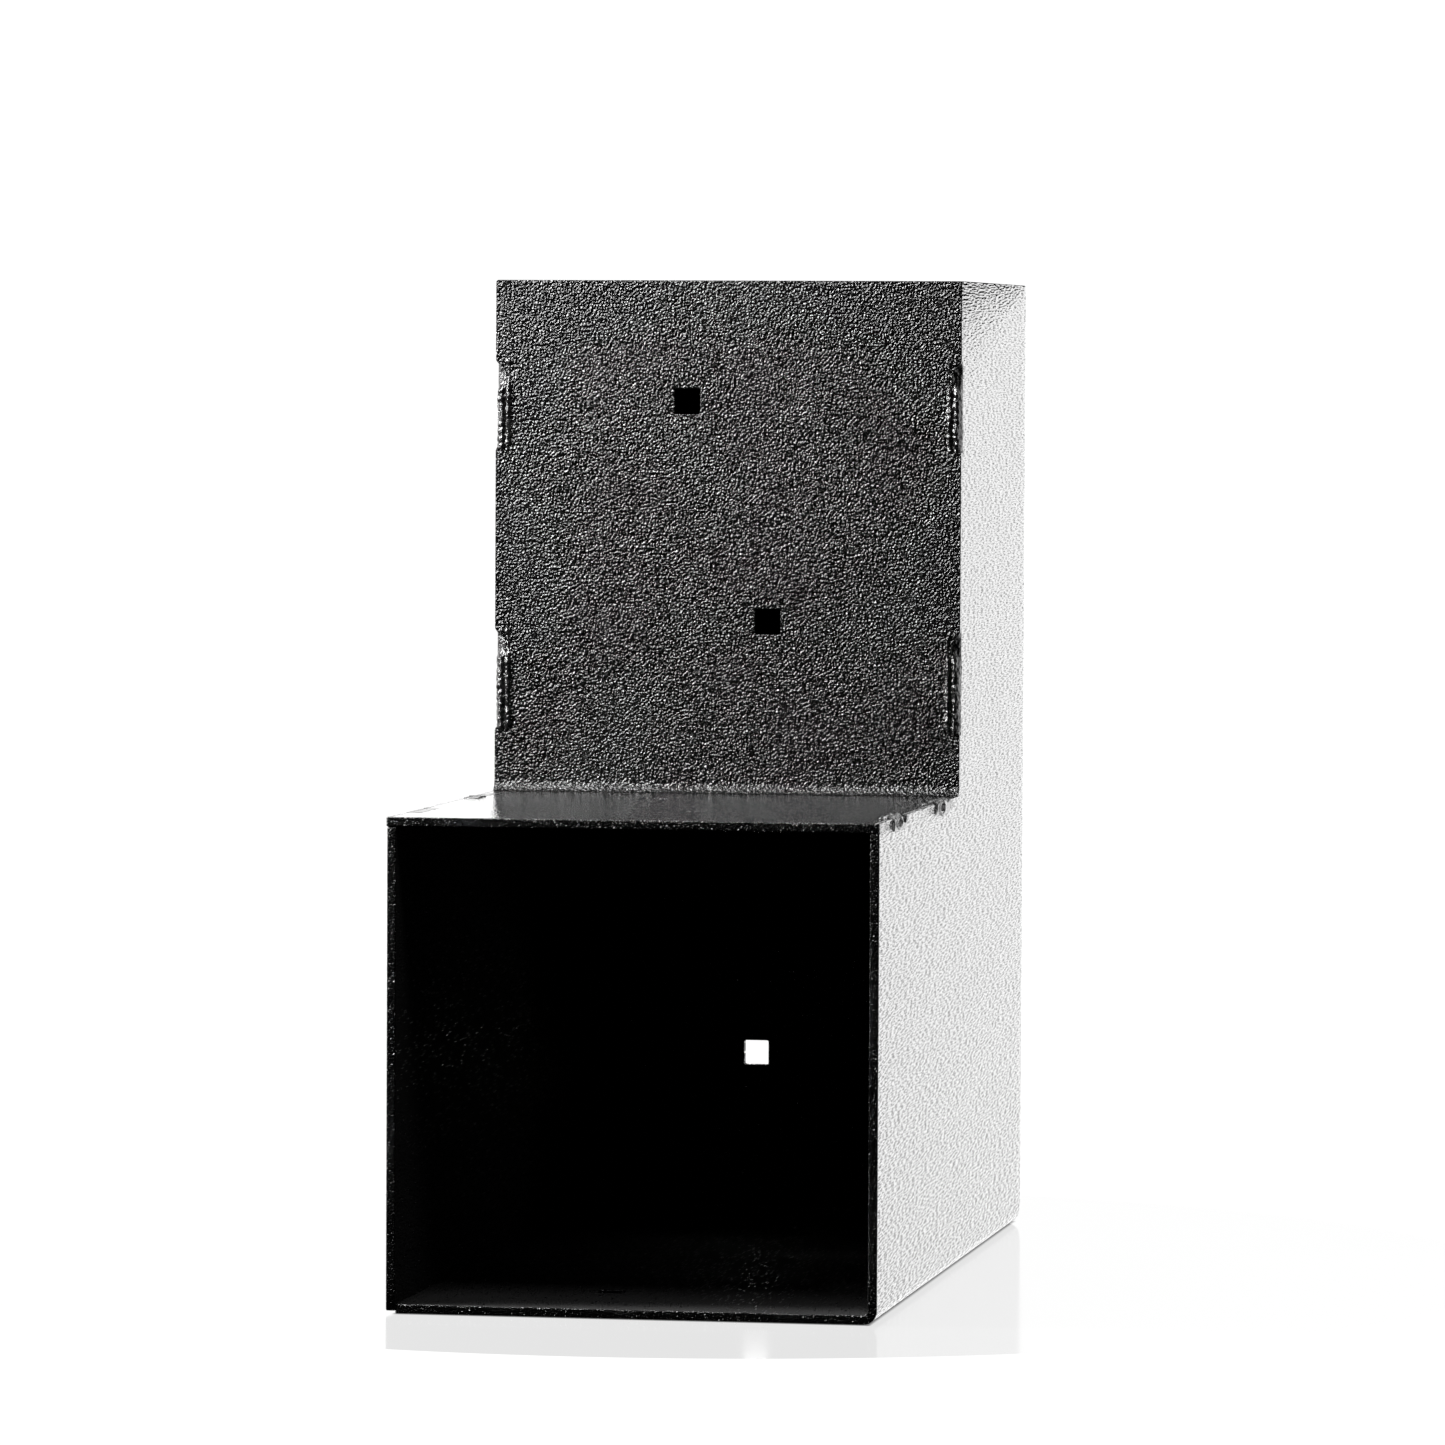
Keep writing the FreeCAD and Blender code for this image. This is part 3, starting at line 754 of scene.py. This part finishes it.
def coat_material(name, grain_depth, roughness, folds):
    """Black powder coat. The grain's depth is in metres, and folds is their number per metre."""
    nodes = Nodes(name)
    place = nodes.add("TexCoord").outputs["Object"]
    height = leather_grain(nodes, place, folds)
    blotch = nodes.add("TexNoise", {"Vector": place, "Scale": 26.0, "Detail": 3.0}).outputs["Fac"]
    speck = nodes.add("TexNoise", {"Vector": place, "Scale": 1400.0,
                                   "Detail": 1.0}).outputs["Fac"]
    gloss = nodes.remap(blotch, 0.3, 0.7, roughness - 0.01, roughness + 0.01)
    gloss = nodes.math("ADD", gloss, nodes.remap(speck, 0.3, 0.7, -0.03, 0.03))
    tint = nodes.add("ValToRGB", {"Fac": blotch})
    tint.color_ramp.elements[0].position = 0.3
    tint.color_ramp.elements[0].color = (0.0010, 0.0010, 0.0011, 1)
    tint.color_ramp.elements[1].position = 0.75
    tint.color_ramp.elements[1].color = (0.0022, 0.0021, 0.0020, 1)
    # seen edge-on, only the tops of the folds show, so the coat looks flatter and glossier there
    facing = nodes.add("LayerWeight", {"Blend": 0.5}).outputs["Facing"]
    relief = nodes.math("MULTIPLY", nodes.remap(facing, *TURNING, 1.0, 0.0),
                        pooling(nodes, place))
    gloss = nodes.math("MULTIPLY", gloss, nodes.remap(facing, *TURNING, 1.0, EDGE_ON_GLOSS))
    outer = outer_side(nodes, place)
    level = nodes.add("SeparateXYZ", {0: place}).outputs["Z"]
    below = nodes.remap(level, (SHELF_UNDER - 1) * MM, (SHELF_UNDER - 2) * MM, 0.0, 1.0)
    below = nodes.math("MULTIPLY", below, nodes.remap(outer, 0.0, 1.0, 1.0, 0.0))
    levelled = nodes.remap(below, 0.0, 1.0, LEVELLED, LEVELLED_INSIDE)
    lasting = nodes.math("MULTIPLY", nodes.remap(facing, *TOPS_TURNING, 0.0, 1.0),
                         nodes.math("MAXIMUM", outer, levelled))
    hollow, height_of_tops = grain_tops(nodes, place, nodes.math("MAXIMUM", outer, below))
    # inside the box only the tops of the grain shine
    dull = nodes.math("MULTIPLY", nodes.math("MULTIPLY", hollow, below),
                      nodes.remap(facing, *TURNING, 0.0, HOLLOWS_DULL))
    gloss = nodes.math("MULTIPLY", gloss, nodes.math("ADD", dull, 1.0))
    tops = nodes.add("Bump", {"Height": height_of_tops, "Strength": lasting,
                              "Distance": grain_depth * TOPS_SHARE})
    bump = nodes.add("Bump", {"Height": height, "Strength": relief, "Distance": grain_depth,
                              "Normal": tops.outputs[0]})
    shader = nodes.add("BsdfPrincipled", {
        "Base Color": tint.outputs["Color"], "Roughness": gloss, "Normal": bump.outputs[0],
        "IOR": 1.52})
    return nodes.finish(shader)


def weld_material():
    """The same coat over weld metal: glossier, with flow marks in place of the grain."""
    nodes = Nodes("coat_over_weld")
    place = nodes.add("TexCoord").outputs["Object"]
    flow = nodes.add("TexNoise", {"Vector": place, "Scale": 420.0, "Detail": 3.0}).outputs["Fac"]
    blotch = nodes.add("TexNoise", {"Vector": place, "Scale": 120.0, "Detail": 2.0}).outputs["Fac"]
    gloss = nodes.remap(blotch, 0.3, 0.7, 0.18, 0.28)
    tint = nodes.add("ValToRGB", {"Fac": flow})
    tint.color_ramp.elements[0].color = (0.006, 0.006, 0.0065, 1)
    tint.color_ramp.elements[1].color = (0.012, 0.0115, 0.011, 1)
    facing = nodes.add("LayerWeight", {"Blend": 0.5}).outputs["Facing"]
    tops = nodes.add("Bump", {"Height": grain_tops(nodes, place, outer_side(nodes, place))[1],
                              "Strength": nodes.remap(facing, *TOPS_TURNING, 0.0, 1.0),
                              "Distance": 0.0002})
    bump = nodes.add("Bump", {"Height": flow, "Distance": 0.0015,
                              "Strength": nodes.remap(facing, *TOPS_TURNING, 1.0, 0.05),
                              "Normal": tops.outputs[0]})
    shader = nodes.add("BsdfPrincipled", {
        "Base Color": tint.outputs["Color"], "Roughness": gloss, "Normal": bump.outputs[0],
        "IOR": 1.75})
    return nodes.finish(shader)


PLATE_RADIUS = 0.268
TABLE_WHITE, PLATE_WHITE = 1.05, 0.88
PLATE_MIRROR = 0.13


def floor_material():
    """White table, lit from within so that it stays white, with a round gloss plate on it."""
    nodes = Nodes("studio_floor")
    place = nodes.add("TexCoord").outputs["Object"]
    cloud = nodes.add("TexNoise", {"Vector": place, "Scale": 3.0}).outputs["Fac"]
    gloss = nodes.remap(cloud, 0.3, 0.7, 0.08, 0.11)
    radius = nodes.add("VectorMath", {0: place}, operation="LENGTH").outputs["Value"]
    on_plate = nodes.math("LESS_THAN", radius, PLATE_RADIUS)
    # painted shadow: the table's glow is dimmed to a quarter under the box, where no light
    # reaches, and rises to full just past its foot
    split = nodes.add("SeparateXYZ", {0: place})
    x = nodes.math("ABSOLUTE", split.outputs["X"])
    y = nodes.math("ABSOLUTE", split.outputs["Y"])
    past = nodes.math("MAXIMUM", nodes.math("SUBTRACT", x, (RIGHT - SHEET) * MM),
                      nodes.math("SUBTRACT", y, (BACK - 0.5) * MM))
    lit = nodes.remap(past, 0.0, 1.2 * MM, 0.25, 1.0)
    glow = nodes.add("Emission", {"Color": (1.0, 1.0, 1.0, 1)})
    white = nodes.remap(on_plate, 0.0, 1.0, TABLE_WHITE, PLATE_WHITE)
    nodes.tree.links.new(nodes.math("MULTIPLY", lit, white), glow.inputs["Strength"])
    diffuse = nodes.add("BsdfDiffuse", {"Color": (0.01, 0.01, 0.01, 1)})
    mirror = nodes.add("BsdfGlossy", {"Color": (1, 1, 1, 1), "Roughness": gloss})
    table = nodes.add("AddShader", {0: glow.outputs[0], 1: diffuse.outputs[0]})
    share = nodes.math("MULTIPLY", on_plate, PLATE_MIRROR)
    mix = nodes.add("MixShader", {0: share, 1: table.outputs[0], 2: mirror.outputs[0]})
    return nodes.finish(mix)


def flag_material():
    """Matt black card."""
    nodes = Nodes("black_flag")
    return nodes.finish(nodes.add("BsdfDiffuse", {"Color": (0.01, 0.01, 0.01, 1)}))


# ---- stage ----------------------------------------------------------------------------------

CAMERA_LENS = 209.3
CAMERA_TURN = (9.956, -2.466, -0.274)      # yaw, pitch and roll in degrees
CAMERA_PLACE = (0.49157, -2.80122, 0.30683)


def make_camera():
    """Long lens, standing to the right, a little lower than the box's top."""
    data = bpy.data.cameras.new("camera")
    data.sensor_width = 36.0
    data.lens = CAMERA_LENS
    data.clip_end = 100.0
    camera = bpy.data.objects.new("camera", data)
    bpy.context.scene.collection.objects.link(camera)
    yaw, pitch, roll = (math.radians(v) for v in CAMERA_TURN)
    turn = (Matrix.Rotation(yaw, 3, "Z") @ Matrix.Rotation(pitch, 3, "X")
            @ Matrix.Rotation(roll, 3, "Y"))
    right, forward, up = turn.col
    pose = Matrix((right, up, -forward)).transposed().to_4x4()
    pose.translation = CAMERA_PLACE
    camera.matrix_world = pose
    bpy.context.scene.camera = camera


def make_floor():
    """Table, just under the box so that the two never share a plane."""
    size = 40.0
    mesh = bpy.data.meshes.new("studio_floor")
    mesh.from_pydata([(-size, -size, 0), (size, -size, 0), (size, size, 0), (-size, size, 0)],
                     [], [(0, 1, 2, 3)])
    floor = bpy.data.objects.new("studio_floor", mesh)
    floor.location.z = -0.0002
    floor.data.materials.append(floor_material())
    floor.visible_glossy = floor.visible_diffuse = False
    bpy.context.scene.collection.objects.link(floor)


MIRRORED_WHITE, PLAIN_WHITE = 1.75, 1.05
# brightness of what the box mirrors, from one end of an axis (0) to the other (1)
WORLD_STOPS = {
    "Y": ((0.0, 0.002), (0.3, 0.003), (0.44, 0.02), (0.58, 0.5), (0.72, 1.0), (1.0, 1.0)),
    "Z": ((0.0, 0.06), (0.25, 0.25), (0.42, 1.0), (0.66, 1.0), (0.8, 0.2), (1.0, 0.05)),
}


def make_world():
    """What the box mirrors: white behind and beside it, dim overhead and black in front."""
    world = bpy.data.worlds.new("studio")
    bpy.context.scene.world = world
    world.use_nodes = True
    tree = world.node_tree
    tree.nodes.clear()
    link = tree.links.new
    where = tree.nodes.new("ShaderNodeTexCoord")
    split = tree.nodes.new("ShaderNodeSeparateXYZ")
    link(where.outputs["Generated"], split.inputs[0])
    factors = []
    for axis, stops in WORLD_STOPS.items():
        lift = tree.nodes.new("ShaderNodeMapRange")
        lift.inputs["From Min"].default_value = -1.0
        link(split.outputs[axis], lift.inputs[0])
        ramp = tree.nodes.new("ShaderNodeValToRGB")
        link(lift.outputs[0], ramp.inputs[0])
        elements = ramp.color_ramp.elements
        while len(elements) < len(stops):
            elements.new(0.5)
        for element, (position, level) in zip(elements, stops):
            element.position = position
            element.color = (level, level, level, 1)
        factors.append(ramp.outputs[0])
    both = tree.nodes.new("ShaderNodeMix")
    both.data_type, both.blend_type = "RGBA", "MULTIPLY"
    both.inputs["Factor"].default_value = 1.0
    link(factors[0], both.inputs["A"])
    link(factors[1], both.inputs["B"])
    mirrored = tree.nodes.new("ShaderNodeBackground")
    mirrored.inputs["Strength"].default_value = MIRRORED_WHITE
    link(both.outputs["Result"], mirrored.inputs[0])
    plain = tree.nodes.new("ShaderNodeBackground")
    plain.inputs["Color"].default_value = (1, 1, 1, 1)
    plain.inputs["Strength"].default_value = PLAIN_WHITE
    seen = tree.nodes.new("ShaderNodeLightPath")
    mix = tree.nodes.new("ShaderNodeMixShader")
    link(seen.outputs["Is Camera Ray"], mix.inputs[0])
    link(mirrored.outputs[0], mix.inputs[1])
    link(plain.outputs[0], mix.inputs[2])
    out = tree.nodes.new("ShaderNodeOutputWorld")
    link(mix.outputs[0], out.inputs[0])


def make_softbox(name, place, aim, along, width, height, power):
    """Area light; its width runs along the given direction."""
    data = bpy.data.lights.new(name, "AREA")
    data.shape = "RECTANGLE"
    data.size, data.size_y = width, height
    data.energy = power
    lamp = bpy.data.objects.new(name, data)
    back = (Vector(place) - Vector(aim)).normalized()
    across = Vector(along) - back * Vector(along).dot(back)
    across.normalize()
    pose = Matrix((across, back.cross(across), back)).transposed().to_4x4()
    pose.translation = place
    lamp.matrix_world = pose
    lamp.visible_camera = False
    bpy.context.scene.collection.objects.link(lamp)


def make_lights():
    """Raking strip from the upper left, a small box overhead, and a lamp behind the column."""
    aim = (0.0, 0.0, 0.2)
    make_softbox("key_softbox", (-0.40, -0.20, 0.57), aim, (1, 0, 1), 0.68, 0.09, 14.0)
    make_softbox("top_softbox", (-0.05, -0.46, 1.10), aim, (1, 0, 0), 0.26, 0.26, 4.0)
    # shines in through the lower back hole, as the white background does
    hole = Vector(MOUNTS["back_bolt_lower"]) * MM
    lamp = 0.03
    make_softbox("back_lamp", hole + Vector((0, lamp, 0)), hole, (1, 0, 0), lamp, lamp, 0.014)
    make_column_flag()


def make_column_flag():
    """Black card over the column, which keeps its inside dark."""
    mesh = bpy.data.meshes.new("column_flag")
    left, right, near, far, level = (v * MM for v in (LEFT - 20, RIGHT + 20, WALL_FRONT - 1,
                                                      BACK + 20, TOP + 2))
    mesh.from_pydata([(left, near, level), (right, near, level), (right, far, level),
                      (left, far, level)], [], [(0, 1, 2, 3)])
    flag = bpy.data.objects.new("column_flag", mesh)
    flag.data.materials.append(flag_material())
    flag.visible_camera = False
    bpy.context.scene.collection.objects.link(flag)


# ---- assembly -------------------------------------------------------------------------------

def dress(piece, slot, *materials):
    """Gives a piece its materials and its body; the slot is not used."""
    for material in materials:
        piece.data.materials.append(material)
    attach(piece, "root")


# stitch beads in the order they are laid: seam, stitch, span of the scoop along the bead
STITCHES = (("wall", "upper", (21.0, 31.5)), ("wall", "lower", (25.0, 35.0)),
            ("shelf", "front", (22.0, 31.5)), ("shelf", "rear", (2.0, 9.0)))
SEED_STEP = 3.7


def make_box():
    sheet_coat = coat_material("coat_leather_grain", SHEET_GRAIN, COAT_ROUGHNESS, SHEET_FOLDS)
    edge_coat = coat_material("coat_on_cut_edges", EDGE_GRAIN, COAT_ROUGHNESS, EDGE_FOLDS)
    weld_coat = weld_material()
    for piece in (make_right_shell(), make_left_panel(), make_step_panel()):
        dress(piece, "coated_sheet", sheet_coat, edge_coat)
    seed = 1.0
    for side in ("right", "left"):
        for seam, stitch, span in STITCHES:
            node = f"{seam}_weld_{side}_{stitch}"
            dress(make_corner_bead(node, side, seam, seed, span), "coated_weld", weld_coat)
            seed += SEED_STEP
    for node in ("bottom_seam_welds", "back_seam_welds"):
        for number, (low, high) in enumerate(seam_islands(node), start=1):
            piece = make_seam_bead(node, number, low, high, seed)
            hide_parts(node)
            dress(piece, "coated_weld", weld_coat)
            seed += SEED_STEP
    dress(make_rear_corner_bead(), "coated_weld", weld_coat)


bpy.context.scene.view_settings.view_transform = "Standard"
bpy.context.scene.view_settings.look = "None"
make_camera()
make_floor()
make_world()
make_lights()
make_box()
